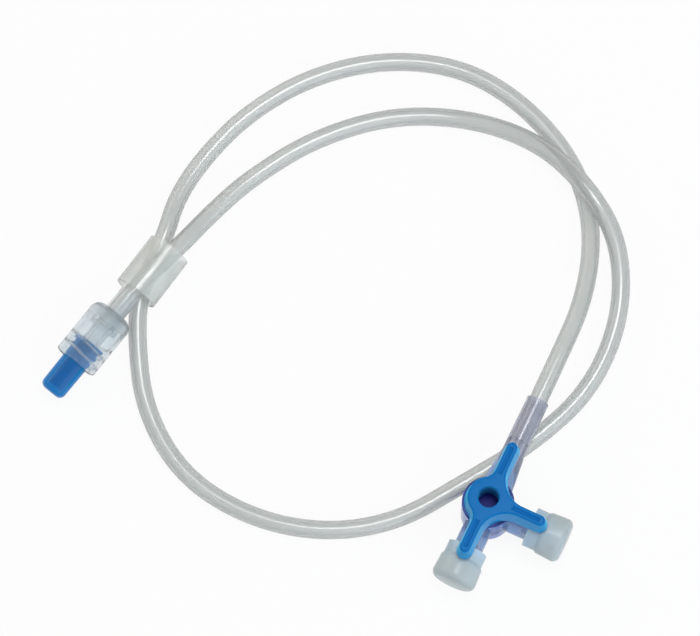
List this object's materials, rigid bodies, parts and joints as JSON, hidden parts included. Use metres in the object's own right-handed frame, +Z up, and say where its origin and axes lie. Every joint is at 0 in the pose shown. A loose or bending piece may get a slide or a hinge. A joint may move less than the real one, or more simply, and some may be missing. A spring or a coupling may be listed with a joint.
{
  "type": "three way stopcock with extension line",
  "caption": "Three way stopcock with a blue T-shaped tap handle, capped side and end ports, and a coiled clear extension line that ends in a lock connector with a blue cap.",
  "frame": {"origin": "on the table at the axis of the stopcock's barrel, in the plane of the barrel's foot", "axes": "+Z up along the tap's turning axis, +Y along the port that holds the extension line, +X along the side port, -Y along the end port"},
  "size_m": [0.1199, 0.1165, 0.0173],
  "materials": {
    "clear_body": "clear polycarbonate with a faint violet cast",
    "blue_handle": "opaque azure, smooth satin",
    "cap_plastic": "translucent natural polyethylene",
    "clear_tube": "clear soft vinyl",
    "sleeve_film": "milky translucent soft plastic",
    "clear_connector": "clear polycarbonate",
    "blue_cap": "transparent blue, glossy"
  },
  "bodies": {
    "stopcock": {"stopcock_body": "clear_body", "extension_tube": "clear_tube", "coil_sleeve": "sleeve_film", "male_luer": "clear_connector"},
    "tap": {"tap_handle": "blue_handle"},
    "side_cap": {"side_port_cap": "cap_plastic"},
    "end_cap": {"end_port_cap": "cap_plastic"},
    "collar": {"lock_collar": "clear_connector"},
    "blue_cap": {"luer_cap": "blue_cap"}
  },
  "joints": [
    {"name": "tap_turn", "type": "hinge", "parent": "stopcock", "child": "tap", "pos_m": [0, 0, 0.0072], "axis": [0, 0, 1], "continuous": true},
    {"name": "side_cap_off", "type": "slide", "parent": "stopcock", "child": "side_cap", "axis": [1, 0, 0], "range_m": [0, 0.02]},
    {"name": "end_cap_off", "type": "slide", "parent": "stopcock", "child": "end_cap", "axis": [0, -1, 0], "range_m": [0, 0.02]},
    {"name": "collar_turn", "type": "hinge", "parent": "stopcock", "child": "collar", "pos_m": [-0.09288, 0.00504, 0.00674], "axis": [-0.2376, -0.9664, -0.0978], "continuous": true},
    {"name": "blue_cap_off", "type": "slide", "parent": "stopcock", "child": "blue_cap", "axis": [-0.2376, -0.9664, -0.0978], "range_m": [0, 0.009]}
  ]
}
